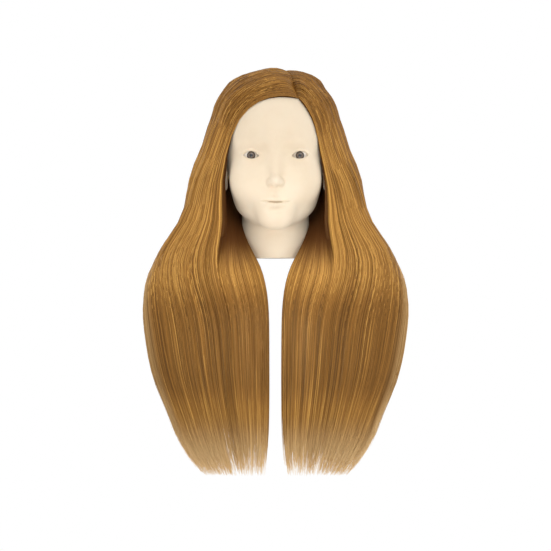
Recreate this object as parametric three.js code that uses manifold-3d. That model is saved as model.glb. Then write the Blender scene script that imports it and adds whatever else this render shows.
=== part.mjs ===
// A mannequin training head for hairdressing practice: a soft vinyl head filled with rigid foam, a clamp socket
// in its neck, inset acrylic eyes, and long straight hair parted on the mannequin's left and combed forward in
// two curtains. Millimetres, +Z up, the face looks along -Y, and the mannequin's own left is +X. The origin is
// the middle of the clamp socket's mouth, in the flat base of the neck.
import * as THREE from "three";
import { mergeVertices } from "three/addons/utils/BufferGeometryUtils.js";
import Module from "manifold-3d";

const wasm = await Module();
wasm.setup();

// +X is the mannequin's own left.
const SIDES = [
  [1, "left"],
  [-1, "right"],
];

// Driving dimensions of the head.
const CRANIUM_HALF_WIDTH = 73;
const CRANIUM_HALF_LENGTH = 92;
const CRANIUM_HALF_HEIGHT = 82;
const CRANIUM_CENTRE = [0, -2, 160];
const NECK_RADIUS = 47.5;
const EAR_CENTRE = [71, 8, 121];
const EAR_RADII = [5, 15, 29];
const CAST_CENTRE = new THREE.Vector3(0, -6, 130); // the upper half of the head is seen in full from here
const CAST_SHARE = 0.4; // share of the rows that are cast from that point
const CROWDING = 0.4; // how strongly the head's columns crowd towards the face
const LONGEST_CAST = 130; // further than any part of the surface is from where it is cast from
const SKIN_THICKNESS = 3.5;
const JOIN_GAP = 0.4; // between pieces that touch on the real object
const SMALL_GAP = 0.3; // the same, between small pieces

// The eyes.
const EYE_X = 32;
const EYE_Y = -66.5;
const EYE_Z = 134.5;
const LID_RADIUS = 14; // outside of the eyelids
const GLOBE_RADIUS = 12;
const GLOBE_BACK = 3; // how far behind its centre the globe is cut flat
const EYE_OPENING_WIDTH = 21;
const EYE_OPENING_HEIGHT = 10.5;
const IRIS_RADIUS = 6.2;
const IRIS_THICKNESS = 0.8;
const IRIS_RECESS_Y = 8.6; // how far in front of the globe's centre the iris recess has its floor

// The clamp socket and the plate that it is screwed to.
const PLATE_THICKNESS = 12;
const FLANGE_RADIUS = 22;
const FLANGE_THICKNESS = 3;
const SOCKET_RADIUS = 10;
const SOCKET_LENGTH = 98;
const BORE_MOUTH_RADIUS = 6.5;
const BORE_END_RADIUS = 6;
const BORE_DEPTH = 92;
const SCREW_COUNT = 3;
const SCREW_CIRCLE_RADIUS = 15.5;
const SCREW_HEAD_RADIUS = 3.2;
const SCREW_SHANK_RADIUS = 1.6;
const SCREW_LENGTH = 10.5;
const SCREW_SINK = 0.2; // the head's top is this far inside the flange's face
const SCREW_HEAD_DEPTH = 1.8;
const SLOT_WIDTH = 0.9;
const SLOT_LENGTH = 4.4;
const SLOT_DEPTH = 0.5;

// The hair.
const HAIR_TOP_Z = 256;
const CAP_BOTTOM_Z = 55.4; // where the hair on the head ends and the part that drapes past the neck begins
const DRAPE_TOP_Z = 55;
const DRAPE_BOTTOM_Z = -30;
const HANG_TOP_Z = -42; // room for the hanging lengths to swing
const HAIR_TIP_Z = -290;
const HAIR_HEAD_GAP = 3.2;
const SECTION_GAP = 0.6;
const FRONT_SECTION_Y = -45;
const BACK_SECTION_Y = 40;
const CROWN_Z = 185;
const NAPE_Z = 140;

const materials = {
  skin: new THREE.MeshStandardMaterial({ color: 0xf4e2c9, roughness: 0.55, metalness: 0 }),
  scalp: new THREE.MeshStandardMaterial({ color: 0xe9d2b4, roughness: 0.7, metalness: 0 }),
  foam: new THREE.MeshStandardMaterial({ color: 0xe8d9a8, roughness: 0.95, metalness: 0 }),
  plate: new THREE.MeshStandardMaterial({ color: 0xd9d2c4, roughness: 0.6, metalness: 0 }),
  socket: new THREE.MeshStandardMaterial({ color: 0x2b2b2d, roughness: 0.45, metalness: 0 }),
  screw: new THREE.MeshStandardMaterial({ color: 0xb9bcc0, roughness: 0.3, metalness: 1 }),
  eyeWhite: new THREE.MeshStandardMaterial({ color: 0xf6f1e8, roughness: 0.25, metalness: 0 }),
  iris: new THREE.MeshStandardMaterial({ color: 0x4a4038, roughness: 0.4, metalness: 0 }),
  lens: new THREE.MeshStandardMaterial({
    color: 0xffffff,
    roughness: 0.05,
    metalness: 0,
    transparent: true,
    opacity: 0.3,
  }),
  hair: new THREE.MeshStandardMaterial({ color: 0x9a6c36, roughness: 0.45, metalness: 0 }),
};

const head = new THREE.Group();

function addMesh(name, geometry, material) {
  const mesh = new THREE.Mesh(geometry, material);
  mesh.name = name;
  head.add(mesh);
}

// A closed geometry as a solid that can be cut and joined.
function toSolid(geometry) {
  const loose = geometry.index ? geometry.toNonIndexed() : geometry;
  const bare = new THREE.BufferGeometry().setAttribute("position", loose.getAttribute("position"));
  const merged = mergeVertices(bare, 1e-3);
  return new wasm.Manifold(
    new wasm.Mesh({
      numProp: 3,
      vertProperties: merged.attributes.position.array,
      triVerts: new Uint32Array(merged.index.array),
    }),
  );
}

// A solid back as a geometry. Only its largest body is kept, so crumbs left by a cut are dropped.
function toGeometry(solid) {
  const bodies = solid.decompose().sort((a, b) => b.volume() - a.volume());
  const mesh = bodies[0].getMesh();
  const positions = new Float32Array(mesh.numVert * 3);
  for (let i = 0; i < mesh.numVert; i++) {
    positions.set(mesh.vertProperties.subarray(i * mesh.numProp, i * mesh.numProp + 3), i * 3);
  }
  return new THREE.BufferGeometry()
    .setAttribute("position", new THREE.BufferAttribute(positions, 3))
    .setIndex(new THREE.BufferAttribute(mesh.triVerts, 1));
}

// Moves every vertex of a geometry to where place() says.
function warp(geometry, place) {
  const position = geometry.getAttribute("position");
  const point = new THREE.Vector3();
  for (let i = 0; i < position.count; i++) {
    point.fromBufferAttribute(position, i);
    const moved = place(point);
    position.setXYZ(i, moved.x, moved.y, moved.z);
  }
  return geometry;
}

// The box between two corners, as a solid.
function boxBetween(low, high) {
  const box = new THREE.BoxGeometry(high[0] - low[0], high[1] - low[1], high[2] - low[2]);
  box.translate((low[0] + high[0]) / 2, (low[1] + high[1]) / 2, (low[2] + high[2]) / 2);
  return toSolid(box);
}

// A cylinder standing on Z between two heights, as a solid.
function post(radius, lowZ, highZ, x = 0, y = 0, sides = 32) {
  const cylinder = new THREE.CylinderGeometry(radius, radius, highZ - lowZ, sides);
  cylinder.rotateX(Math.PI / 2).translate(x, y, (lowZ + highZ) / 2);
  return toSolid(cylinder);
}

// A smooth curve through a few hand-set values, as a function.
function smoothThrough(pairs) {
  const sorted = [...pairs].sort((a, b) => a[0] - b[0]);
  const curve = new THREE.CubicInterpolant(
    sorted.map((pair) => pair[0]),
    sorted.map((pair) => pair[1]),
    1,
    new Float64Array(1),
  );
  return (at) => curve.evaluate(at)[0];
}

// ---------------------------------------------------------------------------------------------------------
// The head's form, as a distance from its surface: negative inside, built from rounded masses blended together.

function ellipsoid(p, centre, radii) {
  const u = [(p.x - centre[0]) / radii[0], (p.y - centre[1]) / radii[1], (p.z - centre[2]) / radii[2]];
  const far = Math.hypot(...u);
  const slope = Math.hypot(u[0] / radii[0], u[1] / radii[1], u[2] / radii[2]);
  return slope < 1e-9 ? -Math.min(...radii) : (far * (far - 1)) / slope;
}

function roundBar(p, from, to, fromRadius, toRadius) {
  const along = [to[0] - from[0], to[1] - from[1], to[2] - from[2]];
  const off = [p.x - from[0], p.y - from[1], p.z - from[2]];
  const dot = off[0] * along[0] + off[1] * along[1] + off[2] * along[2];
  const share = THREE.MathUtils.clamp(dot / (along[0] ** 2 + along[1] ** 2 + along[2] ** 2), 0, 1);
  const gap = Math.hypot(off[0] - share * along[0], off[1] - share * along[1], off[2] - share * along[2]);
  return gap - THREE.MathUtils.lerp(fromRadius, toRadius, share);
}

function joined(a, b, softness) {
  const h = Math.max(softness - Math.abs(a - b), 0) / softness;
  return Math.min(a, b) - (h * h * softness) / 4;
}

function carved(a, b, softness) {
  return -joined(-a, b, softness);
}

function headDistance(p) {
  const m = { x: Math.abs(p.x), y: p.y, z: p.z };
  const craniumRadii = [CRANIUM_HALF_WIDTH, CRANIUM_HALF_LENGTH, CRANIUM_HALF_HEIGHT];
  let d = ellipsoid(p, CRANIUM_CENTRE, craniumRadii);
  d = joined(d, ellipsoid(p, [0, -33, 105], [61.5, 60, 64]), 16); // face
  d = joined(d, roundBar(m, [10, -69, 57], [41, -20, 76], 15, 15), 14); // jaw
  d = joined(d, ellipsoid(p, [0, -74, 56.5], [19, 14, 15]), 10); // chin
  const neckPoint = { x: p.x / 0.97, y: p.y, z: p.z };
  d = joined(d, roundBar(neckPoint, [0, 1, -60], [0, 6, 100], NECK_RADIUS, NECK_RADIUS - 1.5), 16);
  d = joined(d, ellipsoid(p, [0, -79, 76], [24, 17, 20]), 12); // muzzle
  d = joined(d, ellipsoid(m, [33, -64, 104], [22, 21, 24]), 16); // cheek
  d = joined(d, roundBar(m, [12, -86, 152], [42, -68, 150], 6, 6), 12); // brow
  d = carved(d, ellipsoid(m, [31, -97, 135], [18, 21, 12]), 9); // eye socket
  d = joined(d, ellipsoid(m, [EYE_X, EYE_Y, EYE_Z], [LID_RADIUS, LID_RADIUS, LID_RADIUS]), 4);
  d = joined(d, roundBar(p, [0, -85, 141], [0, -103, 101], 6.5, 8), 9); // bridge of the nose
  d = joined(d, ellipsoid(p, [0, -103.5, 99.5], [8.5, 8.5, 7.5]), 4);
  d = joined(d, ellipsoid(m, [8.5, -96, 97], [5, 7.5, 6]), 4); // wing of the nose
  d = joined(d, roundBar(m, [3, -95.5, 77.5], [13, -91, 75], 3.6, 2), 4); // upper lip
  d = joined(d, roundBar(m, [0, -95.5, 69.8], [9, -93, 71.5], 4, 2.8), 4); // lower lip
  const [earX, earY, earZ] = EAR_CENTRE;
  const sheared = { x: m.x - 0.14 * (p.z - earZ) - 0.25 * (p.y - earY), y: p.y, z: p.z };
  d = joined(d, ellipsoid(sheared, [earX, earY, earZ], EAR_RADII), 5);
  return d;
}

// The head's surface, or the surface a set distance inside or outside it. A sphere's vertices are cast onto it:
// the upper half outwards from one point behind the eyes, and the lower half level from a spine that runs down
// through the neck to floorZ. The columns crowd towards the face.
function headForm(level, floorZ, columns, rows) {
  const sphere = new THREE.SphereGeometry(1, columns, rows).rotateX(Math.PI / 2);
  return toSolid(
    warp(sphere, (vertex) => {
      const around = Math.atan2(vertex.x, -vertex.y);
      const azimuth = around - CROWDING * Math.sin(around);
      const polar = Math.acos(THREE.MathUtils.clamp(vertex.z, -1, 1)) / Math.PI;
      const tilt = Math.min(polar / CAST_SHARE, 1) * (Math.PI / 2);
      const drop = Math.max(polar - CAST_SHARE, 0) / (1 - CAST_SHARE);
      const origin = CAST_CENTRE.clone().lerp(new THREE.Vector3(0, 2, floorZ), drop);
      if (Math.hypot(vertex.x, vertex.y) < 1e-6 && drop > 0) return origin;
      const ray = new THREE.Vector3(
        Math.sin(tilt) * Math.sin(azimuth),
        -Math.sin(tilt) * Math.cos(azimuth),
        Math.cos(tilt),
      );
      const at = (far) => ray.clone().multiplyScalar(far).add(origin);
      let near = 0;
      let far = LONGEST_CAST;
      while (far - near > 0.001) {
        const middle = (near + far) / 2;
        if (headDistance(at(middle)) < level) near = middle;
        else far = middle;
      }
      return at(far);
    }),
  );
}

const WIDE = 400; // reaches past the object in every direction
const belowNeck = boxBetween([-WIDE, -WIDE, -WIDE], [WIDE, WIDE, 0]);
const FORM_FLOOR_Z = -16; // the forms run on below the neck's base, which is then cut level
const HAIRLINE_FLOOR_Z = -45; // the room that the hair leaves for the head runs on below the drapes
const outerForm = headForm(0, FORM_FLOOR_Z, 44, 48);
const scalpForm = headForm(0, FORM_FLOOR_Z, 32, 30);
const innerForm = headForm(-SKIN_THICKNESS, FORM_FLOOR_Z, 24, 26);
const fillForm = headForm(-SKIN_THICKNESS - JOIN_GAP, FORM_FLOOR_Z, 24, 26);
const hairlineForm = headForm(HAIR_HEAD_GAP, HAIRLINE_FLOOR_Z, 28, 26);

// An almond: the opening between the eyelids, as a prism along Y.
function eyeOpening(side) {
  const half = EYE_OPENING_WIDTH / 2;
  const bow = EYE_OPENING_HEIGHT; // a quadratic curve rises to half of its control point's height
  const almond = new THREE.Shape();
  almond.moveTo(-half, 0);
  almond.quadraticCurveTo(0, bow, half, 0);
  almond.quadraticCurveTo(0, -bow, -half, 0);
  const length = 4 * GLOBE_RADIUS; // from ahead of the lids to within the globe
  const prism = new THREE.ExtrudeGeometry(almond, { depth: length, bevelEnabled: false, curveSegments: 8 });
  return toSolid(prism.rotateX(Math.PI / 2).translate(side * EYE_X, EYE_Y - 8, EYE_Z));
}

function eyeBall(side, radius, columns = 22, rows = 16) {
  const ball = new THREE.SphereGeometry(radius, columns, rows).translate(side * EYE_X, EYE_Y, EYE_Z);
  return toSolid(ball);
}

// ---------------------------------------------------------------------------------------------------------
// Skin: the face with the neck, and the scalp that the hair is rooted in.

// Everything above the hairline: a prism along X under a line from the forehead, over the ears, to the nape.
function aboveHairline(lift) {
  const side = new THREE.Shape();
  side.moveTo(-WIDE, 213);
  side.lineTo(-100, 213);
  side.splineThru([
    new THREE.Vector2(-72, 206),
    new THREE.Vector2(-42, 172),
    new THREE.Vector2(-4, 156),
    new THREE.Vector2(34, 122),
    new THREE.Vector2(58, 80),
  ]);
  side.lineTo(WIDE, 70);
  side.lineTo(WIDE, WIDE);
  side.lineTo(-WIDE, WIDE);
  const prism = new THREE.ExtrudeGeometry(side, { depth: 2 * WIDE, bevelEnabled: false, curveSegments: 24 });
  prism.translate(0, 0, -WIDE);
  // The drawing's axes become Y and Z, and its depth becomes X.
  prism.applyMatrix4(new THREE.Matrix4().set(0, 0, 1, 0, 1, 0, 0, 0, 0, 1, 0, lift, 0, 0, 0, 1));
  return toSolid(prism);
}

function makeSkin() {
  const scalp = scalpForm.subtract(innerForm).intersect(aboveHairline(JOIN_GAP));
  addMesh("rooted_scalp", toGeometry(scalp), materials.scalp);
  let shell = outerForm.subtract(innerForm).subtract(belowNeck);
  for (const [side] of SIDES) {
    shell = shell.subtract(eyeOpening(side)).subtract(eyeBall(side, GLOBE_RADIUS + JOIN_GAP));
  }
  addMesh("face_and_neck_skin", toGeometry(shell.subtract(aboveHairline(0))), materials.skin);
}

// ---------------------------------------------------------------------------------------------------------
// Inside the head: the foam, the plate in the neck and the clamp socket screwed to it.

function makeFoam() {
  let foam = fillForm.subtract(boxBetween([-WIDE, -WIDE, -WIDE], [WIDE, WIDE, PLATE_THICKNESS + JOIN_GAP]));
  foam = foam.subtract(post(SOCKET_RADIUS + JOIN_GAP, 0, SOCKET_LENGTH + JOIN_GAP));
  for (const [side] of SIDES) foam = foam.subtract(eyeBall(side, GLOBE_RADIUS + 2 * JOIN_GAP, 16, 12));
  addMesh("foam_core", toGeometry(foam), materials.foam);
}

function screwPlaces() {
  return Array.from({ length: SCREW_COUNT }, (_, i) => {
    const angle = Math.PI / 2 + (i * 2 * Math.PI) / SCREW_COUNT;
    return [SCREW_CIRCLE_RADIUS * Math.cos(angle), SCREW_CIRCLE_RADIUS * Math.sin(angle)];
  });
}

function makeNeckPlate() {
  let plate = fillForm.intersect(boxBetween([-WIDE, -WIDE, 0], [WIDE, WIDE, PLATE_THICKNESS]));
  plate = plate.subtract(post(FLANGE_RADIUS + JOIN_GAP, -1, FLANGE_THICKNESS + JOIN_GAP, 0, 0, 36));
  plate = plate.subtract(post(SOCKET_RADIUS + JOIN_GAP, -1, PLATE_THICKNESS + 1));
  for (const [x, y] of screwPlaces()) {
    plate = plate.subtract(post(SCREW_SHANK_RADIUS + SMALL_GAP, -1, SCREW_LENGTH + JOIN_GAP, x, y, 10));
  }
  addMesh("neck_plate", toGeometry(plate), materials.plate);
}

function makeSocket() {
  const profile = [
    [BORE_MOUTH_RADIUS, 0],
    [FLANGE_RADIUS, 0],
    [FLANGE_RADIUS, FLANGE_THICKNESS],
    [SOCKET_RADIUS, FLANGE_THICKNESS],
    [SOCKET_RADIUS - 0.6, SOCKET_LENGTH],
    [0, SOCKET_LENGTH],
    [0, BORE_DEPTH],
    [BORE_END_RADIUS, BORE_DEPTH],
    [BORE_MOUTH_RADIUS, 0],
  ];
  const lathe = new THREE.LatheGeometry(
    profile.map(([r, z]) => new THREE.Vector2(r, z)),
    36,
  );
  let socket = toSolid(lathe.rotateX(Math.PI / 2));
  for (const [x, y] of screwPlaces()) {
    socket = socket.subtract(post(SCREW_HEAD_RADIUS + SMALL_GAP, -1, SCREW_HEAD_DEPTH, x, y, 14));
    socket = socket.subtract(post(SCREW_SHANK_RADIUS + SMALL_GAP, -1, FLANGE_THICKNESS + 1, x, y, 10));
  }
  addMesh("clamp_socket", toGeometry(socket), materials.socket);
}

function makeScrews() {
  const profile = [
    [0, SCREW_SINK],
    [SCREW_HEAD_RADIUS, SCREW_SINK],
    [SCREW_HEAD_RADIUS, SCREW_SINK + 0.6],
    [SCREW_SHANK_RADIUS, 1.6],
    [SCREW_SHANK_RADIUS, SCREW_LENGTH - 2],
    [0, SCREW_LENGTH],
  ];
  const points = profile.map(([r, z]) => new THREE.Vector2(r, z));
  screwPlaces().forEach(([x, y], i) => {
    let screw = toSolid(new THREE.LatheGeometry(points, 12).rotateX(Math.PI / 2).translate(x, y, 0));
    for (const [wide, deep] of [
      [SLOT_WIDTH, SLOT_LENGTH],
      [SLOT_LENGTH, SLOT_WIDTH],
    ]) {
      const low = [x - wide / 2, y - deep / 2, 0];
      screw = screw.subtract(boxBetween(low, [x + wide / 2, y + deep / 2, SCREW_SINK + SLOT_DEPTH]));
    }
    addMesh(`socket_screw_${i + 1}`, toGeometry(screw), materials.screw);
  });
}

// ---------------------------------------------------------------------------------------------------------
// Eyes: an acrylic globe with a recess for the printed iris, under a clear lens.

function makeEye(side, name) {
  const floorY = EYE_Y - IRIS_RECESS_Y;
  const disc = (radius, frontY, backY) =>
    toSolid(
      new THREE.CylinderGeometry(radius, radius, backY - frontY, 32).translate(
        side * EYE_X,
        (frontY + backY) / 2,
        EYE_Z,
      ),
    );
  const rear = boxBetween([-WIDE, EYE_Y + GLOBE_BACK, -WIDE], [WIDE, WIDE, WIDE]);
  const recess = disc(IRIS_RADIUS + SMALL_GAP, floorY - GLOBE_RADIUS, floorY);
  addMesh(
    `eye_globe_${name}`,
    toGeometry(eyeBall(side, GLOBE_RADIUS).subtract(rear).subtract(recess)),
    materials.eyeWhite,
  );
  const irisBackY = floorY - SMALL_GAP;
  const irisFrontY = irisBackY - IRIS_THICKNESS;
  addMesh(`eye_iris_${name}`, toGeometry(disc(IRIS_RADIUS, irisFrontY, irisBackY)), materials.iris);
  const lensBackY = irisFrontY - SMALL_GAP;
  const dome = eyeBall(side, GLOBE_RADIUS).intersect(disc(IRIS_RADIUS, lensBackY - GLOBE_RADIUS, lensBackY));
  addMesh(`eye_lens_${name}`, toGeometry(dome), materials.lens);
}

// ---------------------------------------------------------------------------------------------------------
// Hair on the head: one thick cap with the face left open, cut into the sections that it is combed in.

const CAP_COLUMNS = 36;
const CAP_LEVELS = 13;
const CAP_CROWDING = 1.6; // above 1 the levels crowd towards the crown
const CAP_WIDEST_Z = 190;
const CAP_WIDEST_HALF_WIDTH = 86;
const sideHalfWidth = smoothThrough([
  [40, 134],
  [60, 126],
  [111, 110],
  [152, 98],
  [CAP_WIDEST_Z, CAP_WIDEST_HALF_WIDTH],
]);
const crownHeight = HAIR_TOP_Z + 1 - CAP_WIDEST_Z;
// How the cap rounds over above its widest level, as a share of its size there.
function crownShare(z) {
  return z <= CAP_WIDEST_Z ? 1 : Math.sqrt(1 - ((z - CAP_WIDEST_Z) / crownHeight) ** 1.5);
}
const capFront = smoothThrough([
  [40, -66],
  [111, -76],
  [152, -92],
  [CAP_WIDEST_Z, -101],
]);
const capBack = smoothThrough([
  [40, 76],
  [75, 92],
  [111, 105],
  [152, 111],
  [CAP_WIDEST_Z, 106],
]);

function capRing(angle, z) {
  const level = Math.min(z, CAP_WIDEST_Z);
  const share = crownShare(z);
  const halfWidth = (z <= CAP_WIDEST_Z ? sideHalfWidth(z) : CAP_WIDEST_HALF_WIDTH) * share;
  const middle = (capFront(level) + capBack(level)) / 2;
  const halfLength = ((capBack(level) - capFront(level)) / 2) * share;
  return new THREE.Vector3(halfWidth * Math.sin(angle), middle - halfLength * Math.cos(angle), z);
}

function capForm() {
  const drum = new THREE.CylinderGeometry(1, 1, 1, CAP_COLUMNS, CAP_LEVELS);
  drum.rotateX(Math.PI / 2);
  const span = HAIR_TOP_Z - CAP_BOTTOM_Z;
  return toSolid(
    warp(drum, (vertex) => {
      const down = 0.5 - vertex.z;
      const z = HAIR_TOP_Z - span * down ** CAP_CROWDING;
      const out = Math.hypot(vertex.x, vertex.y);
      const rim = capRing(Math.atan2(vertex.x, -vertex.y), z);
      const middle = new THREE.Vector3(0, (capFront(CAP_WIDEST_Z) + capBack(CAP_WIDEST_Z)) / 2, z);
      return middle.lerp(rim, Math.min(out, 1));
    }),
  );
}

const WINDOW_BACK_Y = 6;

// The opening that the face looks out of, with the hair swept across the mannequin's right of the forehead.
function faceWindow() {
  const edge = new THREE.Shape();
  edge.moveTo(-58, 40);
  edge.splineThru([
    new THREE.Vector2(-69, 66),
    new THREE.Vector2(-70, 110),
    new THREE.Vector2(-65, 150),
    new THREE.Vector2(-49, 183),
    new THREE.Vector2(-20, 205),
    new THREE.Vector2(16, 214),
    new THREE.Vector2(34, 214),
  ]);
  edge.splineThru([
    new THREE.Vector2(45, 194),
    new THREE.Vector2(58, 166),
    new THREE.Vector2(64, 134),
    new THREE.Vector2(64, 96),
    new THREE.Vector2(60, 66),
    new THREE.Vector2(50, 40),
  ]);
  const prism = new THREE.ExtrudeGeometry(edge, { depth: WIDE, bevelEnabled: false, curveSegments: 14 });
  return toSolid(prism.rotateX(Math.PI / 2).translate(0, WINDOW_BACK_Y, 0));
}

// Half of space on one side of the parting: a vertical plane that runs back from above the mannequin's left
// eye to the middle of the back of the head.
const PARTING_FRONT_X = 36;
const PARTING_BACK_X = 3;
const PARTING_REACH = 110; // the plane is drawn from this far in front of the middle to as far behind it

function besideParting(side) {
  const half = new THREE.Shape();
  half.moveTo(PARTING_FRONT_X + (side * SECTION_GAP) / 2, -PARTING_REACH);
  half.lineTo(PARTING_BACK_X + (side * SECTION_GAP) / 2, PARTING_REACH);
  half.lineTo(side * WIDE, PARTING_REACH);
  half.lineTo(side * WIDE, -PARTING_REACH);
  half.closePath();
  const prism = new THREE.ExtrudeGeometry(half, { depth: 2 * WIDE, bevelEnabled: false });
  return toSolid(prism.translate(0, 0, -WIDE));
}

// Room for an ear under the hair.
const HOLLOW_CENTRE = [75, 10, 120];
const HOLLOW_RADII = [10, 23, 36];

function earHollow(side) {
  const [x, y, z] = HOLLOW_CENTRE;
  const ear = new THREE.SphereGeometry(1, 14, 10).scale(...HOLLOW_RADII);
  return toSolid(ear.translate(side * x, y, z));
}

function makeHairCap() {
  let cap = capForm().subtract(hairlineForm).subtract(faceWindow());
  for (const [side] of SIDES) cap = cap.subtract(earHollow(side));
  const g = SECTION_GAP / 2;
  // Each section is what lies between two heights and between two depths.
  const sections = {
    front: { heights: [-WIDE, WIDE], depths: [-WIDE, FRONT_SECTION_Y - g] },
    side: { heights: [-WIDE, CROWN_Z - g], depths: [FRONT_SECTION_Y + g, BACK_SECTION_Y - g] },
    crown: { heights: [CROWN_Z + g, WIDE], depths: [FRONT_SECTION_Y + g, BACK_SECTION_Y - g] },
    back: { heights: [NAPE_Z + g, WIDE], depths: [BACK_SECTION_Y + g, WIDE] },
    nape: { heights: [-WIDE, NAPE_Z - g], depths: [BACK_SECTION_Y + g, WIDE] },
  };
  for (const [side, name] of SIDES) {
    const half = cap.intersect(besideParting(side));
    for (const [section, { heights, depths }] of Object.entries(sections)) {
      const region = boxBetween([-WIDE, depths[0], heights[0]], [WIDE, depths[1], heights[1]]);
      addMesh(`hair_${section}_${name}`, toGeometry(half.intersect(region)), materials.hair);
    }
  }
}

// ---------------------------------------------------------------------------------------------------------
// Hair below the head. At each height a curtain's plan view is a thick bowed strip: it starts at the inner edge,
// bends round the neck, and ends at the outer edge. The back edge comes forward as the strip goes down, until
// the curtain hangs as a flat sheet in front. Each row is [z, inner edge, bend, outer edge, thickness].
const CURTAIN = [
  [60, [60, -55], [184, 8], [28, 70], 28],
  [30, [43, -61], [205, -4], [64, 56], 30],
  [10, [30, -64], [205, -24], [100, 36], 30],
  [-10, [20, -66], [180, -50], [142, 4], 30],
  [-30, [14, -67], [112, -66], [165, -22], 30],
  [-60, [10, -67], [94, -70], [172, -35], 30],
  [-100, [9, -64], [90, -66], [171, -38], 30],
  [-150, [9, -60], [85, -61], [163, -39], 28],
  [-200, [9, -57], [77, -56], [146, -40], 24],
  [-250, [11, -53], [66, -52], [121, -42], 18],
  [-290, [16, -50], [56, -49], [94, -44], 10],
];
const curtainValue = (pick) => smoothThrough(CURTAIN.map((row) => [row[0], pick(row)]));
const inner = [curtainValue((row) => row[1][0]), curtainValue((row) => row[1][1])];
const bend = [curtainValue((row) => row[2][0]), curtainValue((row) => row[2][1])];
const outer = [curtainValue((row) => row[3][0]), curtainValue((row) => row[3][1])];
const curtainThickness = curtainValue((row) => row[4]);

// A point of a curtain: across from 0 at the inner edge to 1 at the outer one, through from -1 to 1.
function curtainPoint(side, across, through, z) {
  const strip = new THREE.QuadraticBezierCurve(
    new THREE.Vector2(inner[0](z), inner[1](z)),
    new THREE.Vector2(bend[0](z), bend[1](z)),
    new THREE.Vector2(outer[0](z), outer[1](z)),
  );
  const point = strip.getPoint(across);
  const tangent = strip.getTangent(across);
  const rounding = Math.sqrt(1 - 0.92 * (2 * across - 1) ** 6);
  const off = (through * curtainThickness(z) * rounding) / 2;
  return new THREE.Vector3(side * (point.x + off * tangent.y), point.y - off * tangent.x, z);
}

// The part of a curtain between two heights and two shares of its width.
function curtainPiece(side, [lowZ, highZ], [from, to], [columns, levels]) {
  const block = new THREE.BoxGeometry(1, 1, 1, columns, 2, levels);
  warp(block, (vertex) => {
    // The sheet is mirrored for the right side, so its columns run the other way to keep its faces outwards.
    const along = side > 0 ? vertex.x + 0.5 : 0.5 - vertex.x;
    const z = THREE.MathUtils.lerp(lowZ, highZ, vertex.z + 0.5);
    return curtainPoint(side, THREE.MathUtils.lerp(from, to, along), -2 * vertex.y, z);
  });
  return toSolid(block);
}

const DRAPE_SPLIT = 0.42; // shares of a curtain's width at which it is split into pieces
const LENGTH_SPLITS = [0.34, 0.67];
const SEAM = 0.012; // half of the gap between neighbours, as the same kind of share

function makeCurtains() {
  const [first, second] = LENGTH_SPLITS;
  for (const [side, name] of SIDES) {
    const drapes = { front: [0, DRAPE_SPLIT - SEAM], rear: [DRAPE_SPLIT + SEAM, 1] };
    for (const [part, span] of Object.entries(drapes)) {
      const drape = curtainPiece(side, [DRAPE_BOTTOM_Z, DRAPE_TOP_Z], span, [8, 9]);
      addMesh(`hair_drape_${part}_${name}`, toGeometry(drape.subtract(hairlineForm)), materials.hair);
    }
    const panels = {
      inner: [0, first - SEAM],
      middle: [first + SEAM, second - SEAM],
      outer: [second + SEAM, 1],
    };
    for (const [part, span] of Object.entries(panels)) {
      const panel = curtainPiece(side, [HAIR_TIP_Z, HANG_TOP_Z], span, [4, 8]);
      addMesh(`hair_length_${part}_${name}`, toGeometry(panel), materials.hair);
    }
  }
}

makeSkin();
makeFoam();
makeNeckPlate();
makeSocket();
makeScrews();
for (const [side, name] of SIDES) makeEye(side, name);
makeHairCap();
makeCurtains();

export default head;
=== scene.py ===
"""A mannequin training head: smooth vinyl face, inset eyes and long straight hair in two curtains.

Metres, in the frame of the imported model. The head's form is worked out in millimetres, as the model's is.
"""
import math

import bmesh
import bpy
import numpy as np
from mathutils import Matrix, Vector


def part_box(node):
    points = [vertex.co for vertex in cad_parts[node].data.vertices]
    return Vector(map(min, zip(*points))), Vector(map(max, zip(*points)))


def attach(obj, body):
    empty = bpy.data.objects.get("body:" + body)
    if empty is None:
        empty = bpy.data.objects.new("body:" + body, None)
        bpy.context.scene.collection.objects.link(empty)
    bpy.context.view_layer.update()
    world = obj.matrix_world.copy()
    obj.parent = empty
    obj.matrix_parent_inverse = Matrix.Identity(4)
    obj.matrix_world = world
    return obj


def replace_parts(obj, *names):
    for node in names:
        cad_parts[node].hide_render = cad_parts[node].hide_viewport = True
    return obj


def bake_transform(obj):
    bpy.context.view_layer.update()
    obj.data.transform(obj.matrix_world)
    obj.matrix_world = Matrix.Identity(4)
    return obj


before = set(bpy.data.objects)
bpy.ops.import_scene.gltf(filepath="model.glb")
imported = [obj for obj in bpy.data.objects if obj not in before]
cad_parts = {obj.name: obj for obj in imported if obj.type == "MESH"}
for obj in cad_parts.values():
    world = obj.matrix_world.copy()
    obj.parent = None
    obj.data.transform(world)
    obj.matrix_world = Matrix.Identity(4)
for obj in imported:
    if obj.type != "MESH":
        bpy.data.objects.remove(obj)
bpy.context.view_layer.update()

MM = 0.001
scene = bpy.context.scene


def box_mm(node):
    """The node's lowest and highest corners at rest, in millimetres."""
    low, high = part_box(node)
    return np.array(low) / MM, np.array(high) / MM


# ------------------------------------------------------------------------------------------------------------
# Places taken from the frame, in millimetres.

skin_low, skin_high = box_mm("face_and_neck_skin")
globe_low, globe_high = box_mm("eye_globe_left")
lens_low, _ = box_mm("eye_lens_left")
_, socket_high = box_mm("clamp_socket")
foam_low, foam_high = box_mm("foam_core")
_, crown_high = box_mm("hair_crown_right")
tips_low, _ = box_mm("hair_length_middle_left")

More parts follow.
